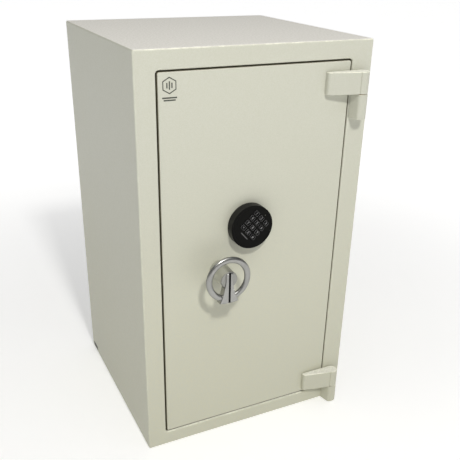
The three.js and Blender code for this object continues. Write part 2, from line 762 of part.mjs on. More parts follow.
node("keypad_mount", keypadMount(), MATERIALS.blackPlastic);
node("keypad_board", keypadBoard(), MATERIALS.board);
node("keypad_housing", keypadHousing(), MATERIALS.blackPlastic);
KEY_NAMES.forEach((name, index) => node(`key_${name}`, keypadKey(index), MATERIALS.keyRubber));

node("handle_ring", handleRing(), MATERIALS.castAlloy);
node("handle_hub", handleHub(), MATERIALS.castAlloy);
node("pointer_inlay", pointerInlay(), MATERIALS.blackPlastic);
node("handle_spindle", handleSpindle(), MATERIALS.steel);
node("spindle_pinion", spindlePinion(), MATERIALS.steel);

export default safe;
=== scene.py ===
"""Looks for a free-standing security safe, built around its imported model.

The scene is in metres, with the origin at the centre of the base and the door facing -Y.
Meshes are drawn in millimetres, and MM turns a length in millimetres into metres.
"""

import math

import bmesh
import bpy
from mathutils import Matrix, Vector


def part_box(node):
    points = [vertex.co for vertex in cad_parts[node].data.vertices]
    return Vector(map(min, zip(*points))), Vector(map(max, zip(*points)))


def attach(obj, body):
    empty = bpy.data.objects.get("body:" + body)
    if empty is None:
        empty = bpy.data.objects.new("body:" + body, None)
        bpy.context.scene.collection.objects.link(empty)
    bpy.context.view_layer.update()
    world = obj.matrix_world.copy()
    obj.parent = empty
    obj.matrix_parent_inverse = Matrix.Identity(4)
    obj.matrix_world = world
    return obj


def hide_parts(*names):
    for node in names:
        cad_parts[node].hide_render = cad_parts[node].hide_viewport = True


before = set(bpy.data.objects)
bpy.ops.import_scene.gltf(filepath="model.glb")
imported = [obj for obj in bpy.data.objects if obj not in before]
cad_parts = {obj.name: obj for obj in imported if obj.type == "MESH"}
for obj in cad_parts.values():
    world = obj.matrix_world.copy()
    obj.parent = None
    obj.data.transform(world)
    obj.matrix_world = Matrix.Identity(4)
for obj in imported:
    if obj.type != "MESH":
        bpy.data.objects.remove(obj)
bpy.context.view_layer.update()

MM = 0.001
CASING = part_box("outer_casing")
FRONT = CASING[0].y  # the face of the cabinet and of the door
HEIGHT = CASING[1].z

# ------------------------------------------------------------------ camera and light
CAMERA_PLACE = (-0.5548, -1.2236, 0.9500)
CAMERA_HEADING = math.radians(26.49)  # to the right of straight ahead
CAMERA_PITCH = math.radians(25.89)  # below level
CAMERA_ROLL = math.radians(1.25)
CAMERA_LENS = 50.85
CAMERA_SHIFT = (-0.0009, 0.0642)
ROOM_LEFT, ROOM_RIGHT = 0.18, 0.14  # how bright the white room is at either side
KEY_LIGHT_PLACE = (-0.32, -2.30, 2.76)
KEY_LIGHT_TARGET = (-0.08, -0.22, 0.39)
KEY_LIGHT_SIDE = 0.3
KEY_LIGHT_POWER = 55
KEY_LIGHT_COLOUR = (1.0, 0.985, 0.96)
OVERHEAD_POWER = 0.95
OVERHEAD_SPREAD = math.radians(70)
FLOOR_RADIUS = 40
GLOW_START, GLOW_END = 0.5, 2.2  # from the origin, where the floor's own light changes
GLOW_NEAR, GLOW_FAR = 0.25, 0.6


def make_camera():
    camera = bpy.data.objects.new("camera", bpy.data.cameras.new("camera"))
    bpy.context.scene.collection.objects.link(camera)
    camera.data.lens = CAMERA_LENS
    camera.data.shift_x, camera.data.shift_y = CAMERA_SHIFT
    camera.matrix_world = (
        Matrix.Translation(CAMERA_PLACE)
        @ Matrix.Rotation(-CAMERA_HEADING, 4, "Z")
        @ Matrix.Rotation(math.radians(90) - CAMERA_PITCH, 4, "X")
        @ Matrix.Rotation(CAMERA_ROLL, 4, "Z")
    )
    bpy.context.scene.camera = camera


def make_light(name, kind, power):
    light = bpy.data.lights.new(name, kind)
    light.energy = power
    lamp = bpy.data.objects.new(name, light)
    bpy.context.scene.collection.objects.link(lamp)
    return lamp


def make_lights():
    """A key light high in front, a little to the left, and a wide soft light from overhead."""
    key_light = make_light("key", "AREA", KEY_LIGHT_POWER)
    key_light.data.shape = "RECTANGLE"
    key_light.data.size = key_light.data.size_y = KEY_LIGHT_SIDE
    key_light.data.color = KEY_LIGHT_COLOUR
    key_light.location = KEY_LIGHT_PLACE
    aim = Vector(KEY_LIGHT_TARGET) - Vector(KEY_LIGHT_PLACE)
    key_light.rotation_euler = aim.to_track_quat("-Z", "Y").to_euler()
    make_light("overhead", "SUN", OVERHEAD_POWER).data.angle = OVERHEAD_SPREAD


def make_surroundings():
    """A dim white room, a little brighter towards the left."""
    world = bpy.data.worlds.new("studio")
    world.use_nodes = True
    tree = world.node_tree
    direction = tree.nodes.new("ShaderNodeTexCoord").outputs["Generated"]
    split = tree.nodes.new("ShaderNodeSeparateXYZ")
    tree.links.new(direction, split.inputs["Vector"])
    strength = tree.nodes.new("ShaderNodeMapRange")
    strength.inputs["From Min"].default_value = -1.0
    strength.inputs["To Min"].default_value = ROOM_LEFT
    strength.inputs["To Max"].default_value = ROOM_RIGHT
    tree.links.new(split.outputs["X"], strength.inputs["Value"])
    background = tree.nodes["Background"]
    background.inputs["Color"].default_value = (1.0, 1.0, 1.0, 1)
    tree.links.new(strength.outputs["Result"], background.inputs["Strength"])
    bpy.context.scene.world = world


def make_studio():
    """A pale floor that fades into the room, with the lights over it."""
    bpy.context.scene.view_settings.view_transform = "Standard"
    make_surroundings()
    make_lights()
    bpy.ops.mesh.primitive_circle_add(vertices=96, radius=FLOOR_RADIUS, fill_type="NGON")
    floor = bpy.context.object
    floor.name = "floor"
    floor.data.materials.append(floor_material())


# ------------------------------------------------------------------ materials
class Finish:
    """A material's nodes, written in a short way. Textures follow the piece's own coordinates."""

    def __init__(self, name, colour, roughness, metallic=0.0):
        self.material = bpy.data.materials.new(name)
        self.material.use_nodes = True
        self.tree = self.material.node_tree
        self.shader = self.tree.nodes["Principled BSDF"]
        self.shader.inputs["Base Color"].default_value = (*colour, 1)
        self.shader.inputs["Roughness"].default_value = roughness
        self.shader.inputs["Metallic"].default_value = metallic
        self.place = self.add("ShaderNodeTexCoord").outputs["Object"]

    def add(self, kind, **settings):
        node = self.tree.nodes.new(kind)
        for key, value in settings.items():
            setattr(node, key, value)
        return node

    def feed(self, socket, source):
        if hasattr(source, "is_output"):
            self.tree.links.new(source, socket)
        else:
            socket.default_value = source

    def stretched(self, scale):
        """The coordinates scaled along each axis, for brushed and streaky marks."""
        mapping = self.add("ShaderNodeMapping")
        self.feed(mapping.inputs["Vector"], self.place)
        mapping.inputs["Scale"].default_value = scale
        return mapping.outputs["Vector"]

    def noise(self, scale, detail=2.0, roughness=0.5, place=None):
        node = self.add("ShaderNodeTexNoise")
        self.feed(node.inputs["Vector"], place or self.place)
        node.inputs["Scale"].default_value = scale
        node.inputs["Detail"].default_value = detail
        node.inputs["Roughness"].default_value = roughness
        return node.outputs["Fac"]

    def along(self, axis):
        """The place along one axis, in metres."""
        split = self.add("ShaderNodeSeparateXYZ")
        self.feed(split.inputs["Vector"], self.place)
        return split.outputs[axis]

    def on_face(self, out):
        """1 where a piece stands further out of the door than this, in millimetres, else 0."""
        level = FRONT - out * MM
        return self.remap(self.along("Y"), level, level + 0.5 * MM, 1, 0)

    def facing_up(self, start, end, low):
        """Rises from low to 1 between two values of the normal's upward part."""
        split = self.add("ShaderNodeSeparateXYZ")
        self.feed(split.inputs["Vector"], self.add("ShaderNodeNewGeometry").outputs["Normal"])
        return self.remap(split.outputs["Z"], start, end, low, 1)

    def remap(self, value, start, end, low, high):
        node = self.add("ShaderNodeMapRange", interpolation_type="SMOOTHSTEP")
        self.feed(node.inputs["Value"], value)
        limits = {"From Min": start, "From Max": end, "To Min": low, "To Max": high}
        for key, number in limits.items():
            node.inputs[key].default_value = number
        return node.outputs["Result"]

    def math(self, operation, first, second):
        node = self.add("ShaderNodeMath", operation=operation)
        self.feed(node.inputs[0], first)
        self.feed(node.inputs[1], second)
        return node.outputs["Value"]

    def mix(self, factor, first, second):
        node = self.add("ShaderNodeMix", data_type="RGBA")
        self.feed(node.inputs["Factor"], factor)
        self.feed(node.inputs["A"], first if hasattr(first, "is_output") else (*first, 1))
        self.feed(node.inputs["B"], second if hasattr(second, "is_output") else (*second, 1))
        return node.outputs["Result"]

    def colour(self, source):
        self.feed(self.shader.inputs["Base Color"], source)

    def roughness(self, source):
        self.feed(self.shader.inputs["Roughness"], source)

    def bump(self, height, distance, strength):
        node = self.add("ShaderNodeBump")
        node.inputs["Distance"].default_value = distance
        node.inputs["Strength"].default_value = strength
        self.feed(node.inputs["Height"], height)
        self.feed(self.shader.inputs["Normal"], node.outputs["Normal"])


def shade(colour, factor):
    return tuple(channel * factor for channel in colour)


def tinted(colour, tint):
    """The colour with each channel scaled by the tint's own."""
    return tuple(channel * factor for channel, factor in zip(colour, tint))


def floor_material():
    """A pale matt floor with a little light of its own, stronger further out."""
    finish = Finish("floor", (0.9, 0.9, 0.895), 0.7)
    finish.shader.inputs["Emission Color"].default_value = (1, 1, 1, 1)
    reach = finish.add("ShaderNodeVectorMath", operation="LENGTH")
    finish.feed(reach.inputs[0], finish.place)
    glow = finish.remap(reach.outputs["Value"], GLOW_START, GLOW_END, GLOW_NEAR, GLOW_FAR)
    finish.feed(finish.shader.inputs["Emission Strength"], glow)
    finish.roughness(finish.remap(finish.noise(3), 0.3, 0.7, 0.65, 0.75))
    return finish.material


def powder_coat(name, colour, grain=0.12 * MM, dusty_and_lit=1.0):
    """Powder coat: a fine pebbled skin with specks, a painted warm floor bounce low down, and
    edges paler from wear and a painted highlight.

    Ledges and the top carry dust and painted light from above, as much as dusty_and_lit says.
    """
    finish = Finish(name, colour, 0.42)
    clouds = finish.remap(finish.noise(3.2, 2), 0.3, 0.7, 0.0, 0.15)
    specks = finish.remap(finish.noise(650, 2, 0.6), 0.35, 0.65, 0.0, 1.0)
    # Painted light: warmer low down, as from a warm bounce off the floor, and bluer towards the
    # top.
    rise = finish.remap(finish.along("Z"), 0.0, HEIGHT, 0.0, 0.85)
    base = finish.mix(finish.math("ADD", clouds, rise),
                      tinted(colour, LOW_TINT), tinted(colour, HIGH_TINT))
    base = finish.mix(specks, shade(colour, SPECK_SHADE), base)

    # Paler edges: partly wear, and partly a painted highlight, kept mostly to edges that face up
    # towards the light.
    rubbed_and_lit = finish.add("ShaderNodeAttribute", attribute_name="edge_wear_and_highlight").outputs["Fac"]
    patches = finish.remap(finish.noise(38, 4, 0.65), 0.45, 0.62, 0.35, 0.9)
    patches = finish.math("MULTIPLY", patches, finish.facing_up(0.1, 0.6, 0.2))
    base = finish.mix(finish.math("MULTIPLY", rubbed_and_lit, patches), base, shade(colour, RUBBED_AND_HIGHLIGHT_SHADE))

    # Faces that point up turn paler: partly dust, and partly painted light from above.
    dust_and_light = finish.remap(finish.noise(260, 4, 0.7), 0.3, 0.7, 0.55 * dusty_and_lit, dusty_and_lit)
    dust_and_light = finish.math("MULTIPLY", dust_and_light, finish.facing_up(0.7, 0.95, 0))
    on_top = finish.remap(finish.along("Z"), HEIGHT - 10 * MM, HEIGHT - 1 * MM, 0.0, 1.0)
    finish.colour(finish.mix(dust_and_light, base, finish.mix(on_top, LEDGE_DUST_AND_LIGHT, TOP_DUST_AND_LIGHT)))
    finish.roughness(finish.remap(finish.noise(180, 2), 0.3, 0.7, 0.42, 0.5))
    finish.bump(finish.noise(820, 2, 0.55), grain, 0.6)
    return finish.material


def satin_metal(name, colour, roughness, face_out=None):
    """Satin metal with fine drawn streaks and handling marks, darker further out than face_out."""
    finish = Finish(name, colour, roughness, 1.0)
    fine = finish.noise(420, 3, 0.6, finish.stretched((1, 1, 14)))
    smears = finish.noise(28, 3, 0.6)
    base = finish.mix(finish.remap(smears, 0.35, 0.7, 0, 1), colour, shade(colour, 0.86))
    if face_out is not None:
        base = finish.mix(finish.on_face(face_out), base, shade(colour, FACE_SHADE))
    finish.colour(base)
    blur = finish.remap(fine, 0.3, 0.7, roughness * 0.8, roughness * 1.25)
    smudged = finish.remap(smears, 0.45, 0.75, 0, 0.08)
    finish.roughness(finish.math("ADD", blur, smudged))
    finish.bump(fine, 0.02 * MM, 0.5)
    return finish.material


def moulded_plastic(name, colour, roughness, grain=0.05 * MM, shine=0.1):
    """Moulded plastic with an eroded grain and handled patches."""
    finish = Finish(name, colour, roughness)
    finish.shader.inputs["Specular IOR Level"].default_value = shine
    grains = finish.noise(1900, 2, 0.6)
    handled = finish.noise(55, 2)
    finish.colour(finish.mix(finish.remap(grains, 0.35, 0.65, 0, 1), colour, shade(colour, 1.35)))
    finish.roughness(finish.remap(handled, 0.35, 0.65, roughness * 0.82, roughness * 1.15))
    finish.bump(grains, grain, 0.6)
    return finish.material


def printed_ink(name, colour):
    """Screen-printed ink, a little uneven in cover."""
    finish = Finish(name, colour, 0.5)
    cover = finish.remap(finish.noise(900, 3, 0.7), 0.3, 0.7, 0, 1)
    finish.colour(finish.mix(cover, shade(colour, 0.85), colour))
    finish.bump(finish.noise(1500, 2), 0.01 * MM, 0.5)
    return finish.material


def cast_fill(name, colour):
    """The barrier material: a cement mix with crushed stone in it."""
    finish = Finish(name, colour, 0.9)
    stones = finish.add("ShaderNodeTexVoronoi")
    finish.feed(stones.inputs["Vector"], finish.place)
    stones.inputs["Scale"].default_value = 160
    size = finish.remap(stones.outputs["Distance"], 0.1, 0.5, 0, 1)
    finish.colour(finish.mix(size, shade(colour, 1.25), shade(colour, 0.8)))
    finish.bump(finish.noise(300, 5, 0.7), 0.6 * MM, 0.8)
    return finish.material


def circuit_board(name):
    """Green solder resist with paler tracks under it."""
    green, pale_green = (0.02, 0.11, 0.04), (0.05, 0.22, 0.08)
    finish = Finish(name, green, 0.35)
    tracks = finish.add("ShaderNodeTexBrick")
    finish.feed(tracks.inputs["Vector"], finish.stretched((260, 260, 260)))
    finish.colour(finish.mix(tracks.outputs["Fac"], green, pale_green))
    finish.bump(finish.noise(1200, 2), 0.03 * MM, 0.5)
    return finish.material


SPECK_SHADE, RUBBED_AND_HIGHLIGHT_SHADE = 0.95, 1.6  # of a coat's own colour; the second makes worn edges paler and adds a painted highlight
FACE_SHADE = 0.55  # of a metal's own colour, on a front face
CREAM = (0.575, 0.578, 0.478)
LOW_TINT, HIGH_TINT = (1.0, 0.975, 0.88), (1.0, 1.0, 1.05)  # painted warm floor bounce near the floor, and painted cool light at the top
# Partly dust, and partly painted light from above, on the cabinet's top and on ledges.
TOP_DUST_AND_LIGHT = (0.95, 0.925, 0.87)
LEDGE_DUST_AND_LIGHT = (0.90, 0.89, 0.80)
PAINT = powder_coat("cream_powder_coat", CREAM)
CASTING_PAINT = powder_coat("cream_casting_paint", shade(CREAM, 0.95))
INNER_PAINT = powder_coat("grey_inner_paint", (0.42, 0.425, 0.385), 0.08 * MM, 0.1)
CAST_ALLOY = satin_metal("satin_cast_alloy", (0.60, 0.60, 0.575), 0.3)
RING_ALLOY = satin_metal("satin_ring", (0.36, 0.36, 0.345), 0.31)
HUB_ALLOY = satin_metal("satin_hub", (0.62, 0.62, 0.58), 0.5, face_out=49)  # its front face
STEEL = satin_metal("plated_steel", (0.58, 0.575, 0.56), 0.27)
HARD_STEEL = satin_metal("hardened_steel", (0.2, 0.205, 0.215), 0.42)
BRONZE = satin_metal("bearing_bronze", (0.52, 0.36, 0.16), 0.33)
BLACK = (0.0075, 0.0075, 0.007)
BLACK_PLASTIC = moulded_plastic("black_plastic", BLACK, 0.45, shine=0.2)
FACE_PLASTIC = moulded_plastic("dull_black_plastic", BLACK, 0.45, shine=0.02)
KEY_RUBBER = moulded_plastic("key_rubber", (0.006, 0.006, 0.006), 0.5, 0.03 * MM, shine=0.03)
POINTER_BLACK = moulded_plastic("pointer_black", (0.004, 0.004, 0.004), 0.6, 0.02 * MM)
# Painted shade: a dark olive colour for the strips that darken the gap round the door.
GAP_SHADE = moulded_plastic("painted_gap_shade", (0.13, 0.12, 0.08), 0.7, 0.03 * MM)
PALE_INK = printed_ink("pale_legend_ink", (0.28, 0.28, 0.28))
DIM_INK = printed_ink("dim_bar_ink", (0.10, 0.10, 0.10))
DARK_INK = printed_ink("dark_emblem_ink", (0.06, 0.065, 0.05))
BARRIER = cast_fill("barrier_mix", (0.27, 0.26, 0.23))
BOARD = circuit_board("circuit_board")

SLOT_FINISH = {
    "paint": PAINT,
    "inner_paint": INNER_PAINT,
    "barrier": BARRIER,
    "steel": STEEL,
    "hard_steel": HARD_STEEL,
    "cast_alloy": CAST_ALLOY,
    "bronze": BRONZE,
    "black_plastic": BLACK_PLASTIC,
    "key_rubber": KEY_RUBBER,
    "circuit_board": BOARD,
}


# ------------------------------------------------------------------ frame nodes
NODE_ROUND = 0.5 * MM


def soften(node):
    """Rounds a frame node's edges with modifiers; its own mesh stays as it is."""
    weld = node.modifiers.new("weld", "WELD")
    weld.merge_threshold = 0.01 * MM
    if node.name != "boltwork_case":  # merging its flat faces would close in on a bolt's hole
        flat = node.modifiers.new("flat", "DECIMATE")
        flat.decimate_type = "DISSOLVE"
        flat.angle_limit = math.radians(1)
    bevel = node.modifiers.new("bevel", "BEVEL")
    bevel.width = NODE_ROUND
    bevel.segments = 3
    bevel.limit_method = "ANGLE"
    bevel.angle_limit = math.radians(40)
    smooth = node.modifiers.new("smooth", "WEIGHTED_NORMAL")
    smooth.weight = 100


def dress_frame():
    """Gives each frame node the finish of its material slot, and rounded edges."""
    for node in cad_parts.values():
        slot = node.data.materials[0].name
        node.data.materials[0] = SLOT_FINISH[slot]
        for polygon in node.data.polygons:
            polygon.use_smooth = True
        soften(node)


# ------------------------------------------------------------------ meshes, drawn in millimetres
SAME = 1e-3  # points closer than this are merged
PAST = 5  # how far a cutting tool reaches past what it cuts


def arc(centre, radius, start, end, steps):
    """Points on a circle between two angles in degrees."""
    points = []
    for step in range(steps + 1):
        angle = math.radians(start + (end - start) * step / steps)
        points.append((centre[0] + radius * math.cos(angle), centre[1] + radius * math.sin(angle)))
    return points


def curve(start, pull, end, steps=8):
    """Points on a curve that leaves start and reaches end along the lines from pull."""
    points = []
    for step in range(steps + 1):
        t = step / steps
        points.append(tuple((1 - t) ** 2 * a + 2 * t * (1 - t) * b + t * t * c
                            for a, b, c in zip(start, pull, end)))
    return points


def circle(centre, radius, sides, turn=0):
    """The corners of a many-sided circle, from turn degrees on."""
    return arc(centre, radius, turn, turn + 360 - 360 / sides, sides - 1)


def fillet(points, radii, steps=5):
    """The outline with each corner rounded to its radius, or left sharp where that is 0."""
    result = []
    for index, (point, radius) in enumerate(zip(points, radii)):
        if radius == 0:
            result.append(point)
            continue
        corner = Vector(point)
        before = (Vector(points[index - 1]) - corner).normalized()
        after = (Vector(points[(index + 1) % len(points)]) - corner).normalized()
        half = before.angle(after) / 2
        centre = corner + (before + after).normalized() * radius / math.sin(half)
        reach = radius / math.tan(half)
        start = (corner + before * reach - centre).normalized()
        end = (corner + after * reach - centre).normalized()
        result += [tuple(centre + start.slerp(end, step / steps) * radius)
                   for step in range(steps + 1)]
    return result


def rectangle(half_x, half_z, radius, centre=(0, 0), steps=6):
    """A rounded rectangle with the same number of points for any radius, even none."""
    points = []
    for corner, (x, z) in enumerate(((1, 1), (-1, 1), (-1, -1), (1, -1))):
        pivot = (centre[0] + x * (half_x - radius), centre[1] + z * (half_z - radius))
        points += arc(pivot, radius, 90 * corner, 90 * (corner + 1), steps)
    return points


def at_depth(outline, out):
    """An outline of the front view, this far out in front of the door's face."""
    return [(x, -out, z) for x, z in outline]


def loft(rings, wear_and_highlight=(), closed=False):
    """A skin through rings of equally many points, each with an edge wear and painted highlight, 0
    to 1.

    Its ends are capped, or joined to each other if it is closed.
    """
    mesh = bmesh.new()
    worn_and_lit = mesh.verts.layers.float.new("edge_wear_and_highlight")
    rows = [[mesh.verts.new(point) for point in ring] for ring in rings]
    for row, amount in zip(rows, wear_and_highlight):
        for vertex in row:
            vertex[worn_and_lit] = amount
    pairs = list(zip(rows, rows[1:])) + ([(rows[-1], rows[0])] if closed else [])
    for near, far in pairs:
        for index in range(len(near)):
            after = (index + 1) % len(near)
            mesh.faces.new((near[index], near[after], far[after], far[index]))
    if not closed:
        mesh.faces.new(rows[0][::-1])
        mesh.faces.new(rows[-1])
    bmesh.ops.remove_doubles(mesh, verts=mesh.verts, dist=SAME)
    bmesh.ops.recalc_face_normals(mesh, faces=mesh.faces)
    return mesh


def revolve(profile, sides=128, centre=(0, 0), closed=False, turn=0):
    """A profile of (radius, out) points turned about a line that points out of the door."""
    rings = [at_depth(circle(centre, radius, sides, turn), out) for radius, out in profile]
    return loft(rings, closed=closed)


def prism(outline, low, high, low_round=0.0, high_round=0.0, upright=False, segments=4):
    """An outline given a thickness, out of the door or upright, with its two rims rounded.

    The rounded rims count as worn edges with a painted highlight.
    """
    mesh = bmesh.new()
    worn_and_lit = mesh.verts.layers.float.new("edge_wear_and_highlight")
    rims = []
    for level in (low, high):
        rim = [(x, y, level) for x, y in outline] if upright else at_depth(outline, level)
        rims.append([mesh.verts.new(point) for point in rim])
    count = len(outline)
    for index in range(count):
        after = (index + 1) % count
        mesh.faces.new((rims[0][index], rims[0][after], rims[1][after], rims[1][index]))
    mesh.faces.new(rims[0][::-1])
    mesh.faces.new(rims[1])
    bmesh.ops.recalc_face_normals(mesh, faces=mesh.faces)
    for rim, radius in zip(rims, (low_round, high_round)):
        if radius == 0:
            continue
        edges = [mesh.edges.get((rim[index - 1], rim[index])) for index in range(count)]
        made = bmesh.ops.bevel(mesh, geom=edges, offset=radius, segments=segments, profile=0.5,
                               affect="EDGES", clamp_overlap=False)
        strip = set(made["faces"])
        for vertex in made["verts"]:
            if strip.issuperset(vertex.link_faces):
                vertex[worn_and_lit] = 1
    bmesh.ops.remove_doubles(mesh, verts=mesh.verts, dist=SAME)
    return mesh


def cylinder(radius, low, high, centre=(0, 0), upright=False, sides=48):
    """A rod between two levels, out of the door or upright."""
    return prism(circle(centre, radius, sides), low, high, upright=upright)


def scratch_object(mesh):
    """An object that holds a mesh in the making, which is used up."""
    data = bpy.data.meshes.new("scratch")
    mesh.to_mesh(data)
    mesh.free()
    made = bpy.data.objects.new("scratch", data)
    bpy.context.scene.collection.objects.link(made)
    return made


def evaluated(source):
    """The mesh that an object shows; the object itself is removed."""
    mesh = bmesh.new()
    shown = source.evaluated_get(bpy.context.evaluated_depsgraph_get())
    mesh.from_mesh(shown.to_mesh())
    bpy.data.objects.remove(source)
    return mesh


def combine(base, tools, operation="DIFFERENCE"):
    """Cuts the tools from the base, or joins them to it."""
    for tool in tools:
        base, tool = scratch_object(base), scratch_object(tool)
        step = base.modifiers.new("step", "BOOLEAN")
        step.operation, step.solver, step.object = operation, "MANIFOLD", tool
        base = evaluated(base)
        bpy.data.objects.remove(tool)
    bmesh.ops.remove_doubles(base, verts=base.verts, dist=SAME)
    bmesh.ops.dissolve_degenerate(base, edges=base.edges, dist=SAME)
    return base


def make_piece(name, mesh, material, body, origin, replaced=(), turn=0.0):
    """Makes a mesh drawn about its own middle into a piece that rides a body.

    It is turned clockwise, seen from the front, and stands at the origin given.
    """
    placed = Matrix.Translation(origin) @ Matrix.Rotation(turn, 4, "Y") @ Matrix.Scale(MM, 4)
    mesh.transform(placed)
    piece = scratch_object(mesh)
    piece.name = piece.data.name = name
    piece.data.materials.append(material)
    for polygon in piece.data.polygons:
        polygon.use_smooth = True
    piece.data.set_sharp_from_angle(angle=math.radians(35))
    smooth = piece.modifiers.new("smooth", "WEIGHTED_NORMAL")
    smooth.keep_sharp = True
    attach(piece, body)
    if replaced:
        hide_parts(*replaced)
    return piece


def middle(name):
    """A frame node's centre, seen from the front and moved to the plane of the door's face."""
    low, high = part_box(name)
    return Vector(((low.x + high.x) / 2, FRONT, (low.z + high.z) / 2))


def sizes(name):
    """A frame node's sizes in millimetres."""
    low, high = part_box(name)
    return (high - low) / MM


# ------------------------------------------------------------------ cabinet and door
SHEET = 3  # the casing's thickness
CASING_ROUND = 3.5
LINING_CORNER = 0.5
LIP_WIDE, LIP_DEEP = 4, 2.7  # the rounded lip of the opening
ANCHOR_HOLE = 7
NOTCH_GAP = 0.3  # round the plug in the corner
DOOR_ROUND, DOOR_BACK_ROUND = 1.5, 0.8
DOOR_CORNER = 3
DOOR_GAP = 3.4
DOOR_WEAR_AND_HIGHLIGHT = 0.35  # how worn its front edge is, and how bright its painted highlight, next to the casing's
DOOR_HOLES = {"handle_hub": 10.3, "keypad_housing": 6}  # the radius of the hole behind each
# Dark strips in the gap round the door, which paint its shade.
SHADE_STRIP_RISE = 0.8
SHADE_STRIP_SLOPE = ((0, 0), (0.6, 0.4), (1, 1.2))  # a share of the rise, and the distance in
SHADE_STRIP_CLEAR = 0.05  # from the face it stands on
DOOR_SHADE_STRIP_START, JAMB_SHADE_STRIP_START, SHADE_STRIP_END = 2.2, 3.3, 11.6  # behind the door's face


def rounding(radius):
    """(inset, depth, wear and painted highlight) along a quarter-round edge, from the front face
    to the side.
    """
    for angle in map(math.radians, (0, 22.5, 45, 67.5, 90)):
        yield radius * (1 - math.sin(angle)), radius * (1 - math.cos(angle)), math.sin(2 * angle)


def around(size, grow, depth, radius, centre=(0, 0)):
    """A rounded rectangle on the front view, this much larger than the size all round."""
    outline = rectangle(size.x / 2 + grow, size.z / 2 + grow, radius, centre)
    return at_depth(outline, -depth)


def casing_holes(centre, bottom, side):
    """Tools that cut the floor-anchor holes and the plug's notch, drawn about the centre."""
    tools = []
    for index in (1, 2):
        low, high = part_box(f"anchor_plug_{index}")
        place = ((low.x + high.x) / 2 / MM, ((low.y + high.y) / 2 - FRONT) / MM)
        tools.append(cylinder(ANCHOR_HOLE, bottom - PAST, bottom + SHEET + PAST, place,
                              upright=True, sides=32))
    low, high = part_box("corner_plug")
    near, far = (low.y - FRONT) / MM - NOTCH_GAP, (high.y - FRONT) / MM + NOTCH_GAP
    foot, head = (low.z - centre.z) / MM - NOTCH_GAP, (high.z - centre.z) / MM + NOTCH_GAP
    outline = [(side - PAST, near), (side + PAST, near), (side + PAST, far), (side - PAST, far)]
    tools.append(prism(outline, foot, head, upright=True))
    return tools


def casing():
    """The cabinet's outside: four walls, and a front with the rounded lip of the opening."""
    centre = middle("outer_casing")
    size = sizes("outer_casing")
    opening = sizes("door_plate")
    offset = (middle("door_plate") - centre) / MM

    def lip(grow, depth):
        return around(opening, DOOR_GAP + grow, depth, DOOR_CORNER + DOOR_GAP + grow,
                      (offset.x, offset.z))

    rings, wear_and_highlight = [lip(0, SHEET)], [0]
    for inset, depth, worn_and_lit in list(rounding(1))[::-1]:
        rings.append(lip(LIP_WIDE * inset, LIP_DEEP * depth))
        wear_and_highlight.append(worn_and_lit)
    for inset, depth, worn_and_lit in rounding(CASING_ROUND):
        rings.append(around(size, -inset, depth, CASING_ROUND - inset))
        wear_and_highlight.append(worn_and_lit)
    rings += [around(size, 0, size.y, CASING_ROUND), around(size, -SHEET, size.y, LINING_CORNER),
              around(size, -SHEET, SHEET, LINING_CORNER)]
    shell = loft(rings, wear_and_highlight + [0, 0, 0], closed=True)
    shell = combine(shell, casing_holes(centre, -size.z / 2, -size.x / 2))
    make_piece("casing_shell", shell, PAINT, "cabinet", centre, ["outer_casing"])


def door():
    """The door plate, with holes behind the hub and the keypad."""
    centre = middle("door_plate")
    size = sizes("door_plate")
    rings, wear_and_highlight = [], []
    for inset, depth, worn_and_lit in rounding(DOOR_ROUND):
        rings.append(around(size, -inset, depth, DOOR_CORNER - inset))
        wear_and_highlight.append(DOOR_WEAR_AND_HIGHLIGHT * worn_and_lit)
    for inset, depth, worn_and_lit in list(rounding(DOOR_BACK_ROUND))[::-1]:
        rings.append(around(size, -inset, size.y - depth, DOOR_CORNER - inset))
        wear_and_highlight.append(worn_and_lit)
    holes = []
    for name, radius in DOOR_HOLES.items():
        place = (middle(name) - centre) / MM
        holes.append(cylinder(radius, -size.y - PAST, PAST, (place.x, place.z)))
    make_piece("door_skin", combine(loft(rings, wear_and_highlight), holes), PAINT, "door", centre,
               ["door_plate"])


def gap_shade_strips():
    """Painted shade: dark strips on the door's edge and on the jamb facing it, with a clear gap
    between them.
    """
    centre = middle("door_plate")
    size = sizes("door_plate")

    def strip(foot, rise, start):
        """A low strip that stands on one side of the gap, its edges sloping down to that side."""
        section = [(share, start + inward) for share, inward in SHADE_STRIP_SLOPE]
        section += [(share, SHADE_STRIP_END - inward) for share, inward in SHADE_STRIP_SLOPE[::-1]]
        rings = []
        for share, depth in section:
            grow = foot + share * rise
            rings.append(around(size, grow, depth, DOOR_CORNER + grow))
        return loft(rings, closed=True)

    make_piece("door_edge_shade_strip", strip(SHADE_STRIP_CLEAR, SHADE_STRIP_RISE, DOOR_SHADE_STRIP_START), GAP_SHADE, "door",
               centre)
    make_piece("jamb_shade_strip", strip(DOOR_GAP - SHADE_STRIP_CLEAR, -SHADE_STRIP_RISE, JAMB_SHADE_STRIP_START), GAP_SHADE,
               "cabinet", centre)


# ------------------------------------------------------------------ hinges
PIN_HOLE = 6.3
PIN_GAP = 0.3  # past the end of the pin
BARREL = 13.3
LEAF_CLEAR, KNUCKLE_CLEAR = 0.5, 0.3  # from the cabinet's face
LEAF_TIP = 10  # how far out the leaf's thin end stands
LEAF_TIP_ROUND = 6
LEAF_RIMS, KNUCKLE_RIMS = (1.0, 2.4), (0.8, 0.8)  # rounding of the lower and upper rim
SEAM_EDGE, SEAM_FOOT = (-9, 23.7), (-7.8, 22.6)  # the leaf's flat ends in a step at the barrel
SEAM_ROUND = 0.8
SEAM_DEEP = 0.9  # how much lower the barrel is next to that step
SEAM_ANGLE, BARREL_ANGLE = 131, 84  # round the axis, where the low part and the full part begin
KNUCKLE_LEAN = 5  # how far the knuckle's left side slopes in
KNUCKLE_LEFT_ROUND, KNUCKLE_RIGHT_ROUND = 7, 10


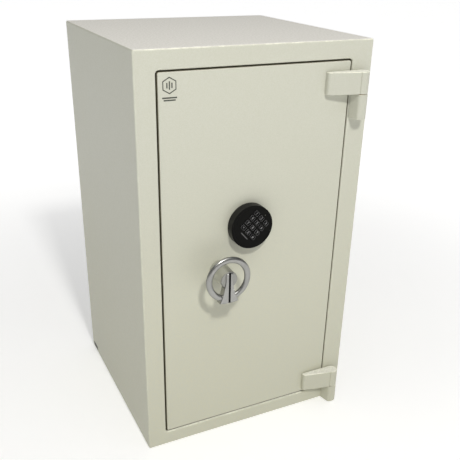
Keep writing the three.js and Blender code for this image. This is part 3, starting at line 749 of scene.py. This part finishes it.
def hinge(place):
    """A leaf with its barrel on the door, and the knuckle under it on the cabinet."""
    pin, leaf, knuckle = [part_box(f"{place}_{part}")
                          for part in ("hinge_pin", "door_leaf", "frame_knuckle")]
    axis = middle(f"{place}_hinge_pin")
    axis_out = (FRONT - (pin[0].y + pin[1].y) / 2) / MM

    def levels(box):
        return (box[0].z - axis.z) / MM, (box[1].z - axis.z) / MM

    def casting(outline, box, rims, hole_low, hole_high):
        """A block with a hole for the pin. Its outline is (across, out) from the axis and face."""
        plan = [(across, -out) for across, out in outline]
        block = prism(plan, *levels(box), *rims, upright=True)
        hole = cylinder(PIN_HOLE, hole_low, hole_high, (0, -axis_out), upright=True)
        return combine(block, [hole])

    pin_low, pin_high = levels(pin)
    left = (leaf[0].x - axis.x) / MM
    outline = fillet([(left, LEAF_CLEAR), (left, LEAF_TIP), SEAM_EDGE, SEAM_FOOT],
                     [0, LEAF_TIP_ROUND, SEAM_ROUND, 0])
    outline += arc((0, axis_out), BARREL - SEAM_DEEP, SEAM_ANGLE, 90, 8)[1:]
    outline += arc((0, axis_out), BARREL, BARREL_ANGLE, -90, 30)
    mesh = casting(outline, leaf, LEAF_RIMS, levels(leaf)[0] - PAST, pin_high + PIN_GAP)
    make_piece(f"{place}_leaf_casting", mesh, CASTING_PAINT, "door", axis,
               [f"{place}_door_leaf"])

    foot, right = [(corner.x - axis.x) / MM for corner in knuckle]
    nose = (FRONT - knuckle[0].y) / MM
    outline = fillet([(right, KNUCKLE_CLEAR), (foot, KNUCKLE_CLEAR), (foot + KNUCKLE_LEAN, nose),
                      (right, nose)], [0, 0, KNUCKLE_LEFT_ROUND, KNUCKLE_RIGHT_ROUND])
    mesh = casting(outline, knuckle, KNUCKLE_RIMS, pin_low - PIN_GAP, levels(knuckle)[1] + PAST)
    make_piece(f"{place}_knuckle_casting", mesh, CASTING_PAINT, "cabinet", axis,
               [f"{place}_frame_knuckle"])


# ------------------------------------------------------------------ handle
RING_OUT = 46  # how far the middle of the ring stands out of the door
RING_OUTER, RING_INNER, RING_HALF_DEEP = 45.6, 33.3, 4.5
HUB_RADIUS, HUB_NOSE, HUB_FACE, HUB_BORE = 17.8, 16.6, 50, 30
HUB_CLEAR = 0.5  # from the door
HUB_NOSE_ROUND, HUB_BACK_ROUND, HUB_HOLE_ROUND = 1.3, 0.8, 0.5
WELL_ROOM, WELL_TOP = 0.6, 0.3  # round the hub and over it, inside the lever
SPINDLE_HOLE = 7.3
LEVER_FRONT, LEVER_BACK, CROWN = 52.5, 37, 15.2
LEVER_RIMS = (1.0, 1.9)  # rounding at the back and at the front
GROOVE_HALF, GROOVE_DEEP, GROOVE_FOOT, GROOVE_ROUND = 2.2, 1.5, 47, 0.6
STRIP_GAP = 0.3  # from the groove's sides and floor
STRIP_SUNK = 0.5  # below the lever's front


def lever_outline():
    """A round head with a neck that flares to a wide foot."""
    rib, neck, foot = 7, 9.4, 19.5
    neck_down, flare_down, foot_down, foot_dip = -15, -30, -46, -50.5
    top = math.degrees(math.acos(rib / CROWN))
    outline = arc((0, 0), CROWN, top, 180 - top, 16)
    left = [(-rib, 0), *curve((-rib, 0), (-rib, neck_down / 2), (-neck, neck_down))[1:],
            *curve((-neck, neck_down), (-neck - 2, flare_down), (-foot, foot_down))[1:]]
    bottom = curve((-foot, foot_down), (0, foot_dip), (foot, foot_down), 12)[1:-1]
    right = [(-x, z) for x, z in left[::-1]]
    return outline + left + bottom + right


def handle():
    """The ring and lever in one casting, the hub behind them and the dark strip in the lever."""
    centre = middle("handle_hub")
    across = (RING_OUTER - RING_INNER) / 2
    mean = (RING_OUTER + RING_INNER) / 2
    section = [(mean + (r - mean) * across, RING_OUT + (out - RING_OUT) * RING_HALF_DEEP)
               for r, out in circle((mean, RING_OUT), 1, 24)]
    lever = prism(lever_outline(), LEVER_BACK, LEVER_FRONT, *LEVER_RIMS)
    well = cylinder(HUB_RADIUS + WELL_ROOM, 0, HUB_FACE + WELL_TOP, sides=64)
    half_long, middle_up = (CROWN + GROOVE_FOOT) / 2, (CROWN - GROOVE_FOOT) / 2
    # Both are a millimetre more for the groove, so that it runs out through the crown.
    groove = rectangle(GROOVE_HALF, half_long + 1, GROOVE_ROUND, (0, middle_up + 1))
    groove = prism(groove, LEVER_FRONT - GROOVE_DEEP, LEVER_FRONT + PAST)
    casting = combine(lever, [groove, well])
    casting = combine(casting, [revolve(section, closed=True)], "UNION")
    make_piece("handle_casting", casting, RING_ALLOY, "handle", centre,
               ["handle_ring"])

    profile = [(0, HUB_FACE), (HUB_NOSE, HUB_FACE), (HUB_RADIUS, HUB_CLEAR),
               (SPINDLE_HOLE, HUB_CLEAR), (SPINDLE_HOLE, HUB_BORE), (0, HUB_BORE)]
    profile = fillet(profile, [0, HUB_NOSE_ROUND, HUB_BACK_ROUND, HUB_HOLE_ROUND, 0, 0])
    make_piece("hub_turning", revolve(profile), HUB_ALLOY, "handle", centre,
               ["handle_hub"])

    strip = rectangle(GROOVE_HALF - STRIP_GAP, half_long - 0.5, 0.4, (0, middle_up - 0.2))
    strip = prism(strip, LEVER_FRONT - GROOVE_DEEP + STRIP_GAP, LEVER_FRONT - STRIP_SUNK, 0, 0.15)
    make_piece("pointer_strip", strip, POINTER_BLACK, "handle", centre,
               ["pointer_inlay"])


# ------------------------------------------------------------------ keypad
KEYPAD_TURN = math.radians(49)  # clockwise, seen from the front
KEYPAD_RADIUS, KEYPAD_OUT = 43.2, 19.5
KEYPAD_CLEAR = 1  # from the door
KEYPAD_TAPER = 0.3  # how much narrower the shell is in front
RIM_ROUND, FACE_ROUND, SKIRT_ROUND = 1.6, 0.3, 0.5
CUP_INNER, CUP_FLOOR = 40.2, 16.5
FACE_RADIUS, FACE_OUT, FACE_SLOPE = 38.2, 18.8, 0.7  # the sunk face, and the slope round it
DULL_OUT = 17  # the shell is duller from here outward
KEY_WIDTH, KEY_HEIGHT, KEY_ROUND, KEY_RIM = 12.4, 9.2, 1.9, 0.45
KEY_ACROSS, KEY_DOWN, KEY_RISE = 15.2, 12, 5.6  # from key to key, and up from the middle
KEY_BACK, KEY_TOP = 14.9, 20.2
KEYS = ("1", "2", "3", "4", "5", "6", "7", "8", "9", "clear", "0", "enter")
SIGNS = {"clear": "*", "enter": "#"}
STAR_DROP = 1.2  # a star stands high in its line
POCKET_GAP, POCKET_ROUND = 0.3, 2.2
LIFT = 0.02  # how far a print or a small piece stands off the surface under it
PRINT_TOP = 0.14
OUTLINE_OUTER, OUTLINE_INNER = (-0.8, 1.2), (-1.0, 1.0)  # past the key's edge, and the corner
FIGURE_HEIGHT, FIGURE_HALF_THICK = 7, 0.06
LIGHT_BAR_PLACE, LIGHT_BAR_HALF, LIGHT_BAR_ROUND, LIGHT_BAR_TOP = (0.3, -22.5), 10.3, 0.9, 0.4
LAMP_PLACE, LAMP_RADIUS, LAMP_TOP = (1.8, 33.4), 1.1, 0.9


def key_place(index):
    return (index % 3 - 1) * KEY_ACROSS, (1.5 - index // 3) * KEY_DOWN + KEY_RISE


def key_outline(index, grow, radius):
    return rectangle(KEY_WIDTH / 2 + grow, KEY_HEIGHT / 2 + grow, radius, key_place(index), 3)


def figure(text):
    """A number or sign as a thin raised print."""
    text_curve = bpy.data.curves.new("figure", "FONT")
    text_curve.body = text
    text_curve.size = FIGURE_HEIGHT
    text_curve.extrude = FIGURE_HALF_THICK
    text_curve.resolution_u = 3
    text_curve.align_x = "CENTER"
    text_curve.align_y = "CENTER"
    source = bpy.data.objects.new("figure", text_curve)
    bpy.context.scene.collection.objects.link(source)
    bpy.context.view_layer.update()
    mesh = evaluated(source)
    bmesh.ops.remove_doubles(mesh, verts=mesh.verts, dist=SAME)
    return mesh


def add_mesh(target, extra):
    """Adds one mesh, which is used up, to another."""
    data = bpy.data.meshes.new("extra")
    extra.to_mesh(data)
    extra.free()
    target.from_mesh(data)
    bpy.data.meshes.remove(data)


def key(index, name, centre):
    """A key's cap, and a print on it: a thin outline with the key's figure inside."""
    cap = prism(key_outline(index, 0, KEY_ROUND), KEY_BACK, KEY_TOP, 0, KEY_RIM, segments=3)
    make_piece(f"key_cap_{name}", cap, KEY_RUBBER, f"key_{name}", centre,
               [f"key_{name}"], KEYPAD_TURN)
    low, high = KEY_TOP + LIFT, KEY_TOP + PRINT_TOP
    outer, inner = key_outline(index, *OUTLINE_OUTER), key_outline(index, *OUTLINE_INNER)
    legend = loft([at_depth(outer, low), at_depth(outer, high), at_depth(inner, high),
                   at_depth(inner, low)], closed=True)
    sign = SIGNS.get(name, name)
    across, up = key_place(index)
    drop = STAR_DROP if sign == "*" else 0
    print_mesh = figure(sign)
    print_mesh.transform(Matrix.Translation((across, -low - FIGURE_HALF_THICK, up - drop))
                         @ Matrix.Rotation(math.radians(90), 4, "X"))
    add_mesh(legend, print_mesh)
    make_piece(f"key_print_{name}", legend, PALE_INK, f"key_{name}", centre,
               turn=KEYPAD_TURN)


def keypad():
    """The shell with a sunk face and pockets for the keys, the keys, a light bar and a lamp."""
    centre = middle("keypad_housing")
    profile = [(0, FACE_OUT), (FACE_RADIUS, FACE_OUT), (FACE_RADIUS + FACE_SLOPE, KEYPAD_OUT),
               (KEYPAD_RADIUS - KEYPAD_TAPER, KEYPAD_OUT), (KEYPAD_RADIUS, KEYPAD_CLEAR),
               (CUP_INNER, KEYPAD_CLEAR), (CUP_INNER, CUP_FLOOR), (0, CUP_FLOOR)]
    profile = fillet(profile, [0, FACE_ROUND, FACE_ROUND, RIM_ROUND, SKIRT_ROUND, 0, 0, 0])
    pockets = [prism(key_outline(index, POCKET_GAP, POCKET_ROUND), CUP_FLOOR - PAST,
                     KEYPAD_OUT + PAST) for index in range(len(KEYS))]
    shell = make_piece("keypad_shell", combine(revolve(profile), pockets), BLACK_PLASTIC, "keypad",
                       centre, ["keypad_housing"], KEYPAD_TURN)
    shell.data.materials.append(FACE_PLASTIC)
    for polygon in shell.data.polygons:
        if polygon.center.y < FRONT - DULL_OUT * MM:
            polygon.material_index = 1
    for index, name in enumerate(KEYS):
        key(index, name, centre)

    bar = rectangle(LIGHT_BAR_HALF, LIGHT_BAR_ROUND, LIGHT_BAR_ROUND, LIGHT_BAR_PLACE, 4)
    bar = prism(bar, FACE_OUT + LIFT, FACE_OUT + LIGHT_BAR_TOP, 0, 0.15)
    make_piece("keypad_light_bar", bar, DIM_INK, "keypad", centre, turn=KEYPAD_TURN)
    dome = [(r, FACE_OUT + LIFT + out) for r, out in arc((0, 0), LAMP_RADIUS, 80, 0, 5)]
    dome = [(0, FACE_OUT + LAMP_TOP), *dome, (0, FACE_OUT + LIFT)]
    make_piece("keypad_lamp", revolve(dome, 24, LAMP_PLACE), DARK_INK, "keypad",
               centre, turn=KEYPAD_TURN)


# ------------------------------------------------------------------ small details
BADGE_PLACE = (-171, 735.5)  # from the cabinet's middle, and up from the floor
BADGE_THICK = 0.25
HEXAGON_UP, HEXAGON_OUTER, HEXAGON_INNER = 6, 14, 12.2
BADGE_BARS = ((-4.4, 4.4), (0, 6.8), (4.4, 4.4))  # across, and half of the height
BADGE_RULES = ((-14, 13), (-18, 10.5))  # up, and half of the width
BAR_HALF_WIDE, RULE_HALF_HIGH, STROKE_ROUND = 1.0, 1.1, 0.3
SCREW_PROFILE = ((0, 2.0), (2.2, 2.0), (3.4, 1.4), (3.9, LIFT), (0, LIFT))  # radius and height
SCREW_INSET = 7
SOCKET_RADIUS, SOCKET_FLOOR = 1.5, 0.9


def door_badge():
    """A plain badge: a hexagon outline round three bars, with two thin rules under it."""
    hexagon = [(HEXAGON_OUTER, LIFT), (HEXAGON_OUTER, BADGE_THICK), (HEXAGON_INNER, BADGE_THICK),
               (HEXAGON_INNER, LIFT)]
    badge = revolve(hexagon, 6, (0, HEXAGON_UP), closed=True, turn=30)
    strokes = [rectangle(BAR_HALF_WIDE, half, STROKE_ROUND, (across, HEXAGON_UP), 2)
               for across, half in BADGE_BARS]
    strokes += [rectangle(half, RULE_HALF_HIGH, STROKE_ROUND, (0, up), 2)
                for up, half in BADGE_RULES]
    for stroke in strokes:
        add_mesh(badge, prism(stroke, LIFT, BADGE_THICK))
    x, z = BADGE_PLACE
    make_piece("door_badge", badge, DARK_INK, "door", (x * MM, FRONT, z * MM))


def cover_screws():
    """Six socket screws on the back of the boltwork cover."""
    low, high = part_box("boltwork_cover")
    back = (high.y - FRONT) / MM
    profile = [(radius, -back - rise) for radius, rise in SCREW_PROFILE]
    places = [(x, z) for x in (low.x / MM + SCREW_INSET, high.x / MM - SCREW_INSET)
              for z in (low.z / MM + SCREW_INSET, (low.z + high.z) / 2 / MM,
                        high.z / MM - SCREW_INSET)]
    for number, place in enumerate(places, 1):
        screw = revolve(profile, 32, place)
        socket = cylinder(SOCKET_RADIUS, -back - PAST, -back - SOCKET_FLOOR, place, sides=6)
        make_piece(f"cover_screw_{number}", combine(screw, [socket]), STEEL, "door",
                   (0, FRONT, 0))


make_camera()
make_studio()
dress_frame()
casing()
door()
gap_shade_strips()
hinge("upper")
hinge("lower")
handle()
keypad()
door_badge()
cover_screws()
